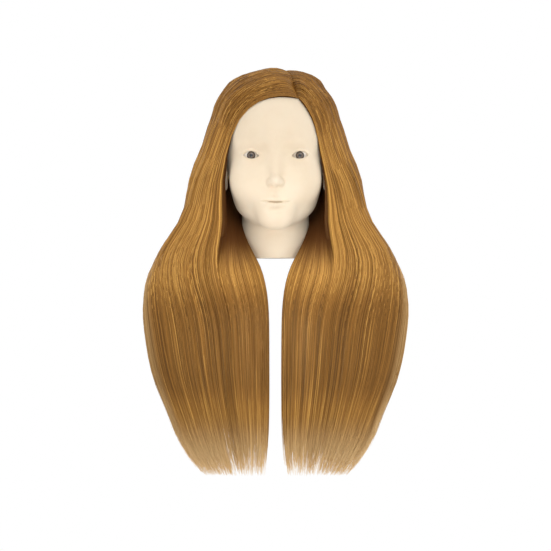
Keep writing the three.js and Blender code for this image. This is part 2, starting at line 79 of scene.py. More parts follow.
GLOBE_RADIUS = (globe_high[0] - globe_low[0]) / 2
EYE = np.array([
    (globe_low[0] + globe_high[0]) / 2,
    lens_low[1] + GLOBE_RADIUS,
    (globe_low[2] + globe_high[2]) / 2,
])
NECK_BASE_Z = skin_low[2]
HAIR_TOP_Z = crown_high[2]
TIP_Z = tips_low[2]

# Sizes of the model that a box can't show, in millimetres.
SKIN_THICKNESS = 3.5
HOLLOW_TOP_Z = 12.4  # the skin has room for the neck plate below this
SOCKET_RADIUS = 10
FIT_GAP = 0.6  # between the foam and what it is fitted round
IRIS_RADIUS = 6.1


# ------------------------------------------------------------------------------------------------------------
# Small node-tree helpers.

def new_material(name):
    material = bpy.data.materials.new(name)
    material.use_nodes = True
    nodes = material.node_tree.nodes
    return material, nodes, material.node_tree.links, nodes["Principled BSDF"]


def linear(red, green, blue):
    """An sRGB colour given in 0..255 as the linear values that a shader takes."""
    def one(value):
        share = value / 255
        return share / 12.92 if share <= 0.04045 else ((share + 0.055) / 1.055) ** 2.4
    return (one(red), one(green), one(blue), 1.0)


def add_node(nodes, kind, **values):
    """A node with its settings: names that are inputs are set as inputs, the others as properties."""
    node = nodes.new(kind)
    for key, value in values.items():
        label = key.replace("_", " ")
        if label in node.inputs:
            node.inputs[label].default_value = value
        else:
            setattr(node, key, value)
    return node


def ramp_between(nodes, stops):
    """A colour ramp through (position, colour) stops."""
    ramp = nodes.new("ShaderNodeValToRGB")
    elements = ramp.color_ramp.elements
    while len(elements) < len(stops):
        elements.new(0.5)
    for element, (position, colour) in zip(elements, stops):
        element.position = position
        element.color = colour
    return ramp


def add_bump(nodes, links, shader, height, strength, distance):
    bump = add_node(nodes, "ShaderNodeBump", Strength=strength, Distance=distance)
    links.new(height, bump.inputs["Height"])
    links.new(bump.outputs["Normal"], shader.inputs["Normal"])


def mesh_object(name, points, faces):
    """A smooth mesh object from points in millimetres."""
    mesh = bpy.data.meshes.new(name)
    mesh.from_pydata((np.asarray(points) * MM).tolist(), [], np.asarray(faces).tolist())
    mesh.validate()
    mesh.polygons.foreach_set("use_smooth", [True] * len(mesh.polygons))
    piece = bpy.data.objects.new(name, mesh)
    scene.collection.objects.link(piece)
    return piece


# ------------------------------------------------------------------------------------------------------------
# The head's form: a distance from its surface in millimetres, negative inside.

def ellipsoid(p, centre, radii):
    u = (p - np.array(centre)) / np.array(radii)
    far = np.sqrt((u * u).sum(-1))
    slope = np.sqrt(((u / np.array(radii)) ** 2).sum(-1))
    return far * (far - 1) / np.maximum(slope, 1e-6)


def round_bar(p, start, end, start_radius, end_radius):
    start = np.array(start, float)
    along = np.array(end, float) - start
    share = np.clip(((p - start) @ along) / (along @ along), 0, 1)
    gap = np.sqrt(((p - start - share[..., None] * along) ** 2).sum(-1))
    return gap - (start_radius + share * (end_radius - start_radius))


def joined(a, b, softness):
    h = np.maximum(softness - np.abs(a - b), 0) / softness
    return np.minimum(a, b) - h * h * softness / 4


def carved(a, b, softness):
    return -joined(-a, b, softness)


# The opening between the eyelids: two arcs that meet at its corners, the outer corner a little higher.
OPENING_HALF_WIDTH = 10.6
OPENING_RISE = 5.6
OPENING_FALL = 4.2
OPENING_TILT = 0.06
OPENING_SOFTNESS = 1.5


def eye_opening(m):
    """Distance from the edge of the opening between the lids, seen from the front, negative inside it."""
    x = m[..., 0] - EYE[0]
    z = m[..., 2] - EYE[2] - OPENING_TILT * x

    def arc(height):
        radius = (OPENING_HALF_WIDTH ** 2 + height ** 2) / (2 * height)
        return radius, radius - height

    top_radius, top_drop = arc(OPENING_RISE)
    low_radius, low_drop = arc(OPENING_FALL)
    upper = np.hypot(x, z + top_drop) - top_radius
    lower = np.hypot(x, z - low_drop) - low_radius
    return -joined(-upper, -lower, OPENING_SOFTNESS)


EAR = (71, 8, 121)
MOUTH_Z = 73.2
MOUTH_REACH = 17  # the groove between the lips fades out about this far from the middle
CREASE_OFFSET = 3.6  # of the crease over the upper lid, from the edge of the opening


def head_distance(p):
    """Rounded masses, joined and carved softly, the same on both halves.

    Each is an ellipsoid's centre and radii, or a bar's two ends and their radii. The last number of a line is
    how softly it runs into the rest."""
    m = np.concatenate([np.abs(p[..., :1]), p[..., 1:]], -1)
    x, y, z = m[..., 0], m[..., 1], m[..., 2]
    d = ellipsoid(m, (0, -2, 160), (73, 92, 82))                                    # cranium
    d = joined(d, ellipsoid(m, (0, -33, 105), (61.5, 60, 64)), 16)  # face
    d = joined(d, round_bar(m, (9, -66, 56), (34, -26, 72), 12.5, 12), 18)  # jaw
    d = joined(d, ellipsoid(m, (0, -74, 55), (17, 14, 16)), 16)  # chin
    neck = m / np.array([0.97, 1, 1])
    d = joined(d, round_bar(neck, (0, 1, -60), (0, 6, 100), 47.5, 46), 10)  # neck
    d = joined(d, ellipsoid(m, (0, -77, 76), (25, 18, 21)), 14)  # muzzle
    d = joined(d, ellipsoid(m, (34, -63, 104), (22, 21, 25)), 18)  # cheek
    d = joined(d, round_bar(m, (10, -84, 153), (42, -66, 151), 5.5, 5), 16)  # brow
    d = carved(d, ellipsoid(m, (29, -101, 137), (17, 19, 10)), 12)  # eye socket
    d = joined(d, ellipsoid(m, EYE, (13.4, 13.4, 13.4)), 5)  # eyelids
    d = joined(d, round_bar(m, (0, -84, 143), (0, -101, 102), 4.5, 5.5), 12)  # bridge of the nose
    d = joined(d, ellipsoid(m, (0, -102.5, 100), (7, 7.5, 6.5)), 5)  # tip of the nose
    d = joined(d, ellipsoid(m, (7.4, -96, 98.4), (3.6, 6.5, 4.6)), 3.5)  # wing of the nose
    d = carved(d, ellipsoid(m, (4.2, -100, 92.4), (2.2, 3.8, 1.8)), 3)  # nostril
    d = carved(d, round_bar(m, (0, -98.5, 87), (0, -97, 82), 1.8, 2.4), 4)  # groove over the lip
    d = joined(d, round_bar(m, (2.5, -94.0, 77.4), (16, -87.4, 74.2), 3.6, 1.6), 3)  # upper lip
    d = joined(d, round_bar(m, (0, -94.2, 68.2), (12.5, -89.0, 70.6), 5.2, 2.4), 3)  # lower lip
    lip_line_z = MOUTH_Z - 0.5 * np.cos(np.clip(x / 6, 0, math.pi)) + 0.03 * x
    past_lips = np.maximum(y + 92 - 0.019 * x * x, 0) * 0.5
    mouth = np.hypot(z - lip_line_z, past_lips) + 0.6 * np.minimum(x / MOUTH_REACH, 2) ** 6
    d = carved(d, mouth - 0.5, 2.6)  # line between the lips
    d = carved(d, ellipsoid(m, (0, -98, 61), (14, 6, 3.2)), 6)  # dip under the lip
    leaning = np.stack([x - 0.14 * (z - EAR[2]) - 0.25 * (y - EAR[1]), y, z], -1)
    d = joined(d, ellipsoid(leaning, EAR, (4.5, 15, 29)), 5)  # ear
    d = carved(d, ellipsoid(leaning, (77.5, 5, 122), (6, 9, 19)), 3)  # bowl of the ear
    past_edge = eye_opening(m)
    near_eye = np.hypot(x - EYE[0], z - EYE[2]) < 20
    above = np.clip((z - EYE[2] + 1) / 3, 0, 1)
    d = d + 0.55 * np.exp(-((past_edge - CREASE_OFFSET) / 0.9) ** 2) * above * near_eye
    pit = np.maximum(past_edge, y - EYE[1] - 2)
    return carved(d, pit, 1.4)


def skin_distance(p):
    """The skin, cut level at the neck's base, with the hollow in it that holds the neck plate."""
    d = head_distance(p)
    hollow = np.maximum(d + SKIN_THICKNESS, p[..., 2] - HOLLOW_TOP_Z)
    return np.maximum(np.maximum(d, -hollow), NECK_BASE_Z - p[..., 2])


def surface_mesh(distance, low, high, step):
    """The zero surface of a distance, by surface nets: one vertex in each cell that the surface crosses."""
    axes = [np.arange(a, b + step, step) for a, b in zip(low, high)]
    count = [len(a) for a in axes]
    value = np.empty(count, np.float32)
    for i, x in enumerate(axes[0]):
        grid = np.stack(np.meshgrid([x], axes[1], axes[2], indexing="ij"), -1)
        value[i] = distance(grid)[0]
    inside = value < 0
    total = np.zeros([n - 1 for n in count] + [3], np.float32)
    hits = np.zeros([n - 1 for n in count], np.float32)
    corners = [np.array([i, j, k]) for i in (0, 1) for j in (0, 1) for k in (0, 1)]
    def part(grid, c):
        return grid[tuple(slice(c[a], count[a] - 1 + c[a]) for a in range(3))]
    for first in corners:
        for axis in range(3):
            if first[axis] == 0:
                second = first.copy()
                second[axis] = 1
                a, b = part(value, first), part(value, second)
                cut = (a < 0) != (b < 0)
                share = np.where(cut, a / np.where(cut, a - b, 1), 0)
                for k in range(3):
                    total[..., k] += np.where(cut, first[k] + share * (second[k] - first[k]), 0)
                hits += cut
    used = hits > 0
    index = np.full(hits.shape, -1)
    index[used] = np.arange(used.sum())
    cells = np.argwhere(used)
    points = np.array(low) + (cells + total[used] / hits[used][:, None]) * step
    faces = []
    for axis in range(3):
        u, v = (axis + 1) % 3, (axis + 2) % 3
        a = inside[tuple(slice(0, -1) if k == axis else slice(1, -1) for k in range(3))]
        b = inside[tuple(slice(1, None) if k == axis else slice(1, -1) for k in range(3))]
        for flip in (False, True):
            where = np.argwhere((a & ~b) if not flip else (~a & b))
            where += np.array([0 if k == axis else 1 for k in range(3)])
            def cell(du, dv):
                c = where.copy()
                c[:, u] -= du
                c[:, v] -= dv
                return index[c[:, 0], c[:, 1], c[:, 2]]
            quad = [cell(1, 1), cell(0, 1), cell(0, 0), cell(1, 0)]
            if flip:
                quad.reverse()
            faces.append(np.stack(quad, -1))
    return points, np.concatenate(faces)


def slope_of(distance, points, h=0.05):
    grad = np.empty_like(points)
    for k in range(3):
        shift = np.zeros(3)
        shift[k] = h
        grad[:, k] = (distance(points + shift) - distance(points - shift)) / (2 * h)
    return grad


def settle(distance, points, rounds=3):
    """Moves points onto the zero surface along the distance's slope."""
    for _ in range(rounds):
        grad = slope_of(distance, points)
        size = np.maximum((grad ** 2).sum(-1), 0.05)
        push = np.clip(distance(points) / size, -1, 1)
        points = points - grad * push[:, None]
    return points


SEARCH_MARGIN = 4  # a surface is looked for this far outside the box that should hold it
HEAD_FRONT_Y = -118
HEAD_BACK_Y = 94
HEAD_TOP_Z = 242
HEAD_STEP = 1.35
FOAM_STEP = 3.0


def make_head():
    """The skin and the scalp in one smooth surface."""
    half_width = skin_high[0] + 2 * SEARCH_MARGIN
    low = np.array([-half_width, HEAD_FRONT_Y - SEARCH_MARGIN, skin_low[2] - SEARCH_MARGIN])
    high = np.array([half_width, HEAD_BACK_Y + SEARCH_MARGIN, HEAD_TOP_Z + SEARCH_MARGIN])
    step = HEAD_STEP
    points, faces = surface_mesh(skin_distance, low, high, step)
    points = settle(skin_distance, points.astype(float))
    piece = mesh_object("head_skin", points, faces)
    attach(piece, "head")
    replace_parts(piece, "face_and_neck_skin", "rooted_scalp")
    piece.data.materials.append(skin_material())


def foam_distance(p):
    """The rigid filling: inside the skin and above the neck plate, with room for the socket and the eyes."""
    filling = np.maximum(head_distance(p) + SKIN_THICKNESS + FIT_GAP, foam_low[2] - p[..., 2])
    beside_socket = np.hypot(p[..., 0], p[..., 1]) - SOCKET_RADIUS - FIT_GAP
    socket = np.maximum(beside_socket, p[..., 2] - socket_high[2] - FIT_GAP)
    mirrored = np.concatenate([np.abs(p[..., :1]), p[..., 1:]], -1)
    eye = ellipsoid(mirrored, EYE, [GLOBE_RADIUS + 2 * FIT_GAP] * 3)
    return np.maximum(filling, -np.minimum(socket, eye))


def make_foam():
    low = foam_low - SEARCH_MARGIN
    high = foam_high + SEARCH_MARGIN
    points, faces = surface_mesh(foam_distance, low, high, FOAM_STEP)
    points = settle(foam_distance, points.astype(float))
    piece = mesh_object("foam_filling", points, faces)
    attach(piece, "head")
    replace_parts(piece, "foam_core")
    piece.data.materials.append(foam_material())


def skin_material():
    """Soft matte vinyl: faint mottling, fine pores, and a little light carried under the surface."""
    material, nodes, links, shader = new_material("soft_vinyl")
    place = add_node(nodes, "ShaderNodeTexCoord")
    blotches = add_node(nodes, "ShaderNodeTexNoise", Scale=18.0, Detail=4.0, Roughness=0.55)
    links.new(place.outputs["Object"], blotches.inputs["Vector"])
    ramp = ramp_between(nodes, [(0.35, linear(227, 208, 181)), (0.65, linear(233, 216, 191))])
    links.new(blotches.outputs["Fac"], ramp.inputs["Fac"])
    links.new(ramp.outputs["Color"], shader.inputs["Base Color"])
    pores = add_node(nodes, "ShaderNodeTexNoise", Scale=900.0, Detail=2.0)
    links.new(place.outputs["Object"], pores.inputs["Vector"])
    gloss = ramp_between(nodes, [(0.3, (0.5, 0.5, 0.5, 1)), (0.7, (0.62, 0.62, 0.62, 1))])
    links.new(pores.outputs["Fac"], gloss.inputs["Fac"])
    links.new(gloss.outputs["Color"], shader.inputs["Roughness"])
    add_bump(nodes, links, shader, pores.outputs["Fac"], 0.12, 0.0002)
    shader.inputs["Subsurface Weight"].default_value = 0.1
    shader.inputs["Subsurface Radius"].default_value = (1.0, 0.6, 0.4)
    shader.inputs["Subsurface Scale"].default_value = 0.0015
    shader.inputs["Specular IOR Level"].default_value = 0.35
    return material


# ------------------------------------------------------------------------------------------------------------
# Eyes.

EYE_RINGS = 28
EYE_SEGMENTS = 40
CLEAR_BULGE = 0.035  # how far the clear front stands out, as a share of the globe's radius


def make_eye(side, name):
    """A glossy acrylic ball with a printed iris under a clear bulge."""
    centre = Vector((side * EYE[0], EYE[1], EYE[2])) * MM
    rings = EYE_RINGS
    segments = EYE_SEGMENTS
    points = []
    faces = []
    for i in range(rings + 1):
        angle = math.pi * i / rings
        from_axis = math.sin(angle) * GLOBE_RADIUS / IRIS_RADIUS
        bulge = CLEAR_BULGE * max(0, 1 - from_axis ** 2) if angle < math.pi / 3 else 0
        reach = GLOBE_RADIUS * (1 + bulge)
        for j in range(segments):
            around = 2 * math.pi * j / segments
            points.append((
                side * EYE[0] + reach * math.sin(angle) * math.cos(around),
                EYE[1] - reach * math.cos(angle),
                EYE[2] + reach * math.sin(angle) * math.sin(around),
            ))
    for i in range(rings):
        for j in range(segments):
            after = (j + 1) % segments
            row = i * segments
            below = row + segments
            faces.append((row + j, below + j, below + after, row + after))
    ball = mesh_object(f"eyeball_{name}", points, faces)
    merge_poles(ball)
    ball.data.materials.append(eye_material(centre))
    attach(ball, "head")
    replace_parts(ball, f"eye_globe_{name}", f"eye_iris_{name}", f"eye_lens_{name}")


def merge_poles(piece):
    """Joins points that lie on each other and turns every face outwards."""
    form = bmesh.new()
    form.from_mesh(piece.data)
    bmesh.ops.remove_doubles(form, verts=form.verts, dist=1e-6)
    bmesh.ops.recalc_face_normals(form, faces=form.faces)
    form.to_mesh(piece.data)
    form.free()


IRIS_JITTER = 0.16  # how much the streaks shift the rings
RINGS_REACH = 1.2  # how far out the rings are drawn, in iris radii


def eye_material(centre):
    """Rings around the eye's middle: pupil, streaked iris, dark rim and warm white."""
    material, nodes, links, shader = new_material("printed_eye")
    place = add_node(nodes, "ShaderNodeTexCoord")
    away = add_node(nodes, "ShaderNodeVectorMath", operation="SUBTRACT")
    links.new(place.outputs["Object"], away.inputs[0])
    away.inputs[1].default_value = centre
    flat = add_node(nodes, "ShaderNodeVectorMath", operation="MULTIPLY")
    links.new(away.outputs[0], flat.inputs[0])
    flat.inputs[1].default_value = (1, 0, 1)
    reach = add_node(nodes, "ShaderNodeVectorMath", operation="LENGTH")
    links.new(flat.outputs[0], reach.inputs[0])
    share = add_node(nodes, "ShaderNodeMath", operation="DIVIDE")
    links.new(reach.outputs["Value"], share.inputs[0])
    share.inputs[1].default_value = IRIS_RADIUS * MM
    streaks = add_node(nodes, "ShaderNodeTexNoise", Scale=1400.0, Detail=3.0)
    links.new(flat.outputs[0], streaks.inputs["Vector"])
    jitter = add_node(nodes, "ShaderNodeMath", operation="MULTIPLY_ADD")
    links.new(streaks.outputs["Fac"], jitter.inputs[0])
    jitter.inputs[1].default_value = IRIS_JITTER
    links.new(share.outputs[0], jitter.inputs[2])
    # Places from the eye's middle, as shares of the iris's radius.
    rings = [
        (0.00, linear(14, 10, 9)),
        (0.42, linear(24, 18, 16)),
        (0.50, linear(112, 95, 80)),
        (0.74, linear(80, 66, 55)),
        (0.92, linear(46, 36, 30)),
        (1.00, linear(40, 32, 28)),
        (1.00, linear(232, 226, 218)),
    ]
    ramp = ramp_between(nodes, [(place / RINGS_REACH, colour) for place, colour in rings])
    scaled = add_node(nodes, "ShaderNodeMath", operation="DIVIDE")
    links.new(jitter.outputs[0], scaled.inputs[0])
    scaled.inputs[1].default_value = RINGS_REACH
    links.new(scaled.outputs[0], ramp.inputs["Fac"])
    links.new(ramp.outputs["Color"], shader.inputs["Base Color"])
    shader.inputs["Roughness"].default_value = 0.08
    shader.inputs["Coat Weight"].default_value = 0.5
    shader.inputs["Coat Roughness"].default_value = 0.03
    return material


# ------------------------------------------------------------------------------------------------------------
# Where the hair runs, in millimetres.

HEAD_MIDDLE = np.array([0, -5, 135.0])
JOIN_Z = 64.0  # below this the main hair follows the curtains, above it the head
NAPE_JOIN_Z = -10.0  # the nape's hair joins the curtains here
HANG_Z = -60.0  # below this every strand hangs

# Below the head, a curtain's plan view at each height is a thick bowed strip. Each row holds the height, the
# strip's inner edge, the bend between its ends, its outer edge, and its thickness, for the mannequin's left.
CURTAIN = [
    (60, (60, -55), (184, 8), (28, 70), 28),
    (30, (43, -61), (205, -4), (64, 56), 30),
    (10, (30, -64), (205, -24), (100, 36), 30),
    (-10, (20, -66), (172, -50), (142, 4), 30),
    (-30, (14, -67), (138, -62), (165, -22), 30),
    (-60, (10, -67), (100, -70), (172, -35), 30),
    (-100, (9, -64), (90, -66), (171, -38), 30),
    (-150, (9, -60), (85, -61), (163, -39), 28),
    (-200, (9, -57), (77, -56), (146, -40), 24),
    (-250, (11, -53), (66, -52), (121, -42), 18),
    (-290, (16, -50), (56, -49), (94, -44), 10),
]

# The share of a curtain, from its inner edge, that the nape's hair fills at each height.
NAPE_SHARE = ((HANG_Z, 0.30), (-30, 0.24), (0, 0.13), (30, 0.08), (60, 0.04))

# How far the nape's hair runs under the main hair beside it, as a share of the curtain.
NAPE_OVERLAP = 0.12

# Where a strand of the main hair hangs on the outline of its curtain's plan view, for its place from the
# front edge to the middle of the back: 0 is the inner edge, 1 the outer edge, and more than 1 the rear face.
HANGS_AT = ((0, 0.30), (0.1, 0.53), (0.25, 0.75), (0.5, 0.98), (1, 1.5))

# Half the width of all the hair at each height.
OUTLINE = (
    (-290, 95), (-265, 113), (-240, 128), (-210, 140), (-160, 160), (-110, 171), (-55, 174), (-30, 170),
    (0, 160), (60, 126), (111, 110), (152, 98), (190, 86), (220, 70), (240, 50.5), (250, 34), (256, 18),
)

# On the head, each strand is a cubic curve from the parting to the curtain. The columns are strands from the
# front edge to the middle of the back, and the rows are the curve's first three points.
SWEEP_KNOTS = (0, 0.3, 0.65, 1)
PARTING = ((32, -70, 215), (22, -45, 242), (10, 25, 252), (4, 92, 112))
SWEEP = {
    1: (
        PARTING,
        ((46, -80, 206), (54, -60, 250), (50, 25, 275), (7, 116, 98)),
        ((70, -66, 160), (86, -58, 185), (95, 30, 190), (24, 106, 84)),
    ),
    -1: (
        PARTING,
        ((-2, -82, 208), (-22, -70, 262), (-32, 25, 285), (1, 116, 98)),
        ((-82, -50, 202), (-88, -56, 200), (-95, 30, 195), (-22, 106, 84)),
    ),
}

# The nape's hair comes from under the ears, past the neck, to the inner part of a curtain. The columns are
# its strands from the neck outwards, and the rows are their first three points.
NAPE_KNOTS = (0, 1)
NAPE = (
    ((40, 40, 60), (70, 34, 112)),
    ((53, 14, 52), (90, -8, 92)),
    ((41, -50, 24), (72, -44, 30)),
)


def through_points(at, knots, values):
    """A smooth curve through values at knots, by cubic Hermite pieces."""
    knots = np.array(knots, float)
    values = np.array(values, float)
    slopes = np.gradient(values, knots)
    at = np.clip(at, knots[0], knots[-1])
    i = np.clip(np.searchsorted(knots, at) - 1, 0, len(knots) - 2)
    gap = knots[i + 1] - knots[i]
    s = (at - knots[i]) / gap
    return (
        (2 * s ** 3 - 3 * s ** 2 + 1) * values[i]
        + (s ** 3 - 2 * s ** 2 + s) * gap * slopes[i]
        + (3 * s ** 2 - 2 * s ** 3) * values[i + 1]
        + (s ** 3 - s ** 2) * gap * slopes[i + 1]
    )


def unit(vectors):
    return vectors / np.maximum(np.linalg.norm(vectors, axis=-1, keepdims=True), 1e-6)


def eased(share):
    share = np.clip(share, 0, 1)
    return share * share * (3 - 2 * share)


def curtain_value(z, pick):
    rows = CURTAIN[::-1]
    return through_points(z, [row[0] for row in rows], [pick(row) for row in rows])


def curtain_point(side, across, through, z, around_back=0):
    """A point of a curtain and the way that its front faces.

    Where around_back is 1, hair of more than 1 across hangs on the rear face, so the strands of each face
    take the half of the thickness next to it."""
    hanging = eased((JOIN_Z - z) / (JOIN_Z - HANG_Z)) * around_back
    face = np.clip((1 - across) / 0.1, -1, 1)
    through = (through + ((through + 1) / 2 - through) * hanging) * (1 + (face - 1) * around_back)
    across = 1 - np.abs(1 - across)
    ends = [[curtain_value(z, lambda row: row[1 + k][axis]) for axis in (0, 1)] for k in range(3)]
    (ax, ay), (mx, my), (cx, cy) = ends
    keep = 1 - across
    x = keep ** 2 * ax + 2 * across * keep * mx + across ** 2 * cx
    y = keep ** 2 * ay + 2 * across * keep * my + across ** 2 * cy
    along_x = keep * (mx - ax) + across * (cx - mx)
    along_y = keep * (my - ay) + across * (cy - my)
    size = np.hypot(along_x, along_y)
    rounding = np.sqrt(1 - 0.92 * np.clip(2 * across - 1, -1, 1) ** 6)
    off = through * curtain_value(z, lambda row: row[4]) * rounding / 2
    point = np.stack([side * (x + off * along_y / size), y - off * along_x / size, z + 0 * x], -1)
    facing = np.stack([side * along_y / size, -along_x / size, 0 * x], -1)
    return point, unit(facing * np.where(face < 0, -1, 1)[..., None])


def main_across(t, z):
    """Where a strand of the main hair lies across its curtain: it makes room for the nape's hair."""
    above = 0.04 + 0.96 * t
    below = through_points(t, *zip(*HANGS_AT))
    return above + (below - above) * eased((JOIN_Z - z) / (JOIN_Z - HANG_Z))


def nape_across(t, z):
    return (through_points(z, *zip(*NAPE_SHARE)) + NAPE_OVERLAP) * t


CAP_WIDEST_Z = 190.0
CAP_HALF_WIDTH = ((40, 134), (60, 126), (111, 110), (152, 98), (190, 86))
CAP_FRONT = ((40, -66), (111, -76), (152, -92), (190, -101))
CAP_BACK = ((40, 76), (75, 92), (111, 105), (152, 111), (190, 106))


def inside_cap(p):
    """True for points inside the outer surface of the hair on the head."""
    z = p[..., 2]
    level = np.clip(z, 40, CAP_WIDEST_Z)
    half_width = through_points(level, *zip(*CAP_HALF_WIDTH))
    front = through_points(level, *zip(*CAP_FRONT))
    back = through_points(level, *zip(*CAP_BACK))
    rise = np.clip((z - CAP_WIDEST_Z) / (HAIR_TOP_Z + 1 - CAP_WIDEST_Z), 0, 2)
    share = 1 - rise ** 1.5
    x = p[..., 0] / half_width
    y = (p[..., 1] - (front + back) / 2) / ((back - front) / 2)
    return x * x + y * y < share


def reach_table(is_inside, rounds=13):
    """How far a surface is from the head's middle in every direction, by the angles from +Z and around it."""
    down, around = np.meshgrid(
        np.linspace(0, math.pi, 121), np.linspace(-math.pi, math.pi, 241), indexing="ij"
    )
    direction = np.stack([np.sin(down) * np.cos(around), np.sin(down) * np.sin(around), np.cos(down)], -1)
    near = np.full(down.shape, 20.0)
    far = np.full(down.shape, 220.0)
    for _ in range(rounds):
        middle = (near + far) / 2
        within = is_inside(HEAD_MIDDLE + direction * middle[..., None])
        near = np.where(within, middle, near)
        far = np.where(within, far, middle)
    return far


def look_up(table, direction):
    rows, columns = table.shape
    i = np.arccos(np.clip(direction[..., 2], -1, 1)) / math.pi * (rows - 1)
    j = (np.arctan2(direction[..., 1], direction[..., 0]) / math.pi + 1) / 2 * (columns - 1)
    i0 = np.minimum(i.astype(int), rows - 2)
    j0 = np.minimum(j.astype(int), columns - 2)
    a, b = i - i0, j - j0
    upper = table[i0, j0] * (1 - b) + table[i0, j0 + 1] * b
    lower = table[i0 + 1, j0] * (1 - b) + table[i0 + 1, j0 + 1] * b
    return upper * (1 - a) + lower * a


HEAD_REACH = reach_table(lambda p: head_distance(p) < 0)
CAP_REACH = reach_table(inside_cap)


def cubic(corners, knots, t, u, end, flip=1):
    """A point of the cubic curve to end whose first three points are interpolated across the strands."""
    mirror = np.array([flip, 1, 1])
    start, first, second = (
        np.stack([through_points(t, knots, [p[axis] for p in row]) for axis in range(3)], -1) * mirror
        for row in corners
    )
    u = u[..., None]
    keep = 1 - u
    return keep ** 3 * start + 3 * keep ** 2 * u * first + 3 * keep * u ** 2 * second + u ** 3 * end


def over_the_head(side, t, through, start, steps=13):
    """The part of each main strand that lies on the head, and the way that its outer side faces."""
    u = start[:, None] + (1 - start[:, None]) * np.linspace(0, 1, steps) ** 1.4
    wide = np.repeat(t[:, None], steps, 1)
    deep = np.repeat(through[:, None], steps, 1)
    end, end_facing = curtain_point(side, main_across(wide, JOIN_Z), deep, np.full_like(wide, JOIN_Z), 1)
    direction = unit(cubic(SWEEP[side], SWEEP_KNOTS, wide, u, end) - HEAD_MIDDLE)
    head = look_up(HEAD_REACH, direction)
    cap = np.maximum(look_up(CAP_REACH, direction), head + 3)
    room = np.minimum(cap - head - 1.0, 3 + 70 * wide ** 1.2)
    swell = 0.75 * eased((wide - 0.12) / 0.2)  # away from the face the hair stands up from its roots
    rooted = swell + (1 - swell) * eased((u - start[:, None]) / 0.07 + 0.1)
    reach = head + 1.0 + room * (0.08 + 0.92 * (deep + 1) / 2) * rooted
    level = eased((u - 0.7) / 0.3)
    reach = reach + (np.linalg.norm(end - HEAD_MIDDLE, axis=-1) - reach) * level
    facing = direction + (end_facing - direction) * level[..., None]
    return HEAD_MIDDLE + direction * reach[..., None], facing


def past_the_neck(side, t, through, steps=11):
    """The part of each nape strand from its root to the curtain."""
    u = np.repeat(np.linspace(0, 1, steps)[None], len(t), 0)
    wide = np.repeat(t[:, None], steps, 1)
    deep = np.repeat(through[:, None], steps, 1)
    end, facing = curtain_point(side, nape_across(wide, NAPE_JOIN_Z), deep, np.full_like(wide, NAPE_JOIN_Z))
    path = cubic(NAPE, NAPE_KNOTS, wide, u, end, flip=side)
    return path + facing * (deep * 6 * eased(1 - u) * eased(u * 4))[..., None], facing


def hanging_part(side, t, through, across_at, around_back, join_z, tip_z, steps=16):
    """The part of each strand that follows the curtain, from below the join down to its tip."""
    fall = np.linspace(0, 1, steps + 1)[1:] ** 1.1
    z = join_z + (tip_z[:, None] - join_z) * fall
    wide = np.repeat(t[:, None], steps, 1)
    deep = np.repeat(through[:, None], steps, 1)
    return curtain_point(side, across_at(wide, z), deep, z, around_back)


def softened(points, rounds=2):
    for _ in range(rounds):
        points[:, 1:-1] = points[:, 1:-1] * 0.5 + (points[:, :-2] + points[:, 2:]) * 0.25
    return points


def main_paths(side, t, through, start, tip_z):
    upper, upper_facing = over_the_head(side, t, through, start)
    lower, lower_facing = hanging_part(side, t, through, main_across, 1, JOIN_Z, tip_z)
    points = softened(np.concatenate([upper, lower], 1))
    return points, unit(np.concatenate([upper_facing, lower_facing], 1))


def nape_paths(side, t, through, tip_z):
    upper, upper_facing = past_the_neck(side, t, through)
    lower, lower_facing = hanging_part(side, t, through, nape_across, 0, NAPE_JOIN_Z, tip_z)
    points = softened(np.concatenate([upper, lower], 1))
    return points, unit(np.concatenate([upper_facing, lower_facing], 1))


def widest_at(side):
    """How far out the combed strands reach at each height, before they are fitted to the outline."""
    count = 70
    points, _ = main_paths(
        side, np.linspace(0, 1, count), np.full(count, 1.0), np.zeros(count), np.full(count, float(TIP_Z))
    )
    levels = np.arange(TIP_Z, HAIR_TOP_Z, 8.0)
    reach = np.zeros((count, len(levels)))
    for i in range(count):
        order = np.argsort(points[i, :, 2])
        reach[i] = np.interp(levels, points[i, order, 2], points[i, order, 0] * side, right=0)
    widest = np.maximum(reach.max(0), 8)
    return levels, np.convolve(np.pad(widest, 2, "edge"), np.full(5, 0.2), "valid")


def fitted_to_outline(side, points, widest):
    """Stretches the hair sideways, more towards its outer edge, so that it fills the outline."""
    z = points[..., 2]
    now = np.interp(z, *widest)
    goal = through_points(z, *zip(*OUTLINE))
    factor = np.clip(goal / now, 0.7, 1.4)
    amount = eased((points[..., 0] * side / now - 0.3) / 0.7)
    points = points.copy()
    points[..., 0] *= 1 + (factor - 1) * amount
    return points


def clear_of_head(points, gap):
    """Pushes points that are in the head or too close to it straight out to the gap."""
    flat = points.reshape(-1, 3)
    near = np.where((flat[:, 2] > NECK_BASE_Z - 8) & (np.abs(flat[:, 0]) < 100))[0]
    depth = head_distance(flat[near])
    low = near[depth < gap]
    if len(low):
        grad = slope_of(head_distance, flat[low])
        size = np.maximum((grad ** 2).sum(-1), 0.2)
        flat[low] += grad * ((gap - head_distance(flat[low])) / size)[:, None]
    return flat.reshape(points.shape)


# ------------------------------------------------------------------------------------------------------------
# Hair: a thickness underneath, with painted shade on its inner side, and strands over it.

SIDES = {1: "left", -1: "right"}


def across_the_hinge(piece):
    """Bakes the piece's place and turn into its points."""
    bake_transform(piece)


def set_point_numbers(piece, name, values):
    layer = piece.data.attributes.new(name, "FLOAT", "POINT")
    layer.data.foreach_set("value", np.asarray(values, np.float32).ravel())


